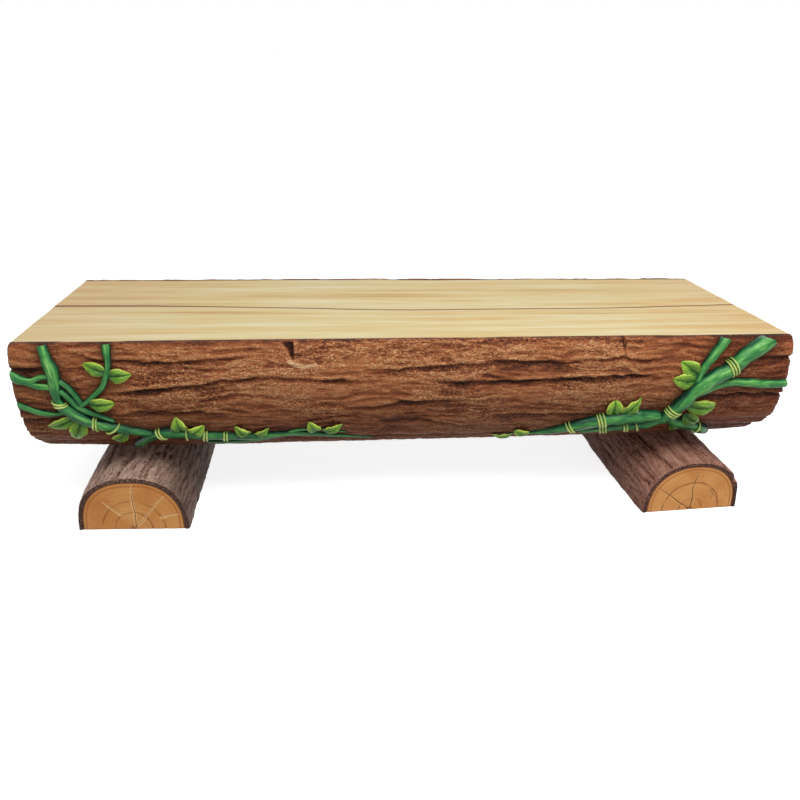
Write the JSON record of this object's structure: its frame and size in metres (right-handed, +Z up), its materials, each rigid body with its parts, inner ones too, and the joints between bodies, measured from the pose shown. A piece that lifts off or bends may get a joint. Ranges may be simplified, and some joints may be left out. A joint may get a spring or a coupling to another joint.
{
  "type": "half-log bench",
  "caption": "Low bench shaped as a half log lying flat side up on half-log feet, with a boarded seat, sculpted bark and green creepers in relief on its front.",
  "frame": {"origin": "on the floor under the middle of the bench", "axes": "+Z up, +X along the log to the right as seen from the front, -Y towards the front"},
  "size_m": [1.8, 0.6504, 0.45],
  "materials": {
    "log_bark": "hand-painted relief, satin",
    "foot_bark": "hand-painted relief, matt",
    "seat_board": "painted grain under satin lacquer",
    "end_grain": "painted end grain, satin",
    "creeper_stem": "painted, semi-gloss",
    "creeper_leaf": "painted, semi-gloss",
    "creeper_tie": "painted, semi-gloss",
    "frame_timber": "sawn, unpainted",
    "zinc_steel": "zinc plated"
  },
  "bodies": {
    "root": {"bearer_left": "frame_timber", "bearer_right": "frame_timber", "board_screws": "zinc_steel", "end_panel_left": "end_grain", "end_panel_right": "end_grain", "foot_bark_left": "foot_bark", "foot_bark_right": "foot_bark", "foot_bolt_nuts": "zinc_steel", "foot_bolt_washers": "zinc_steel", "foot_bolts": "zinc_steel", "foot_core_left": "end_grain", "foot_core_right": "end_grain", "leaf_left_01": "creeper_leaf", "leaf_left_02": "creeper_leaf", "leaf_left_03": "creeper_leaf", "leaf_left_04": "creeper_leaf", "leaf_left_05": "creeper_leaf", "leaf_left_06": "creeper_leaf", "leaf_left_07": "creeper_leaf", "leaf_left_08": "creeper_leaf", "leaf_left_09": "creeper_leaf", "leaf_left_10": "creeper_leaf", "leaf_left_11": "creeper_leaf", "leaf_left_12": "creeper_leaf", "leaf_right_01": "creeper_leaf", "leaf_right_02": "creeper_leaf", "leaf_right_03": "creeper_leaf", "leaf_right_04": "creeper_leaf", "leaf_right_05": "creeper_leaf", "leaf_right_06": "creeper_leaf", "leaf_right_07": "creeper_leaf", "leaf_right_08": "creeper_leaf", "leaf_right_09": "creeper_leaf", "log_shell": "log_bark", "rail_centre": "frame_timber", "rail_dowels": "frame_timber", "rail_front": "frame_timber", "rail_rear": "frame_timber", "rail_screws": "zinc_steel", "seat_board_front": "seat_board", "seat_board_rear": "seat_board", "stem_left_fork": "creeper_stem", "stem_left_low": "creeper_stem", "stem_left_runner": "creeper_stem", "stem_left_shoot": "creeper_stem", "stem_left_trunk": "creeper_stem", "stem_left_twist": "creeper_stem", "stem_left_under": "creeper_stem", "stem_right_branch": "creeper_stem", "stem_right_runner": "creeper_stem", "stem_right_shoot": "creeper_stem", "stem_right_side": "creeper_stem", "stem_right_strand": "creeper_stem", "stem_right_trunk": "creeper_stem", "ties_left": "creeper_tie", "ties_right": "creeper_tie", "web_left": "frame_timber", "web_middle": "frame_timber", "web_right": "frame_timber"}
  },
  "joints": []
}
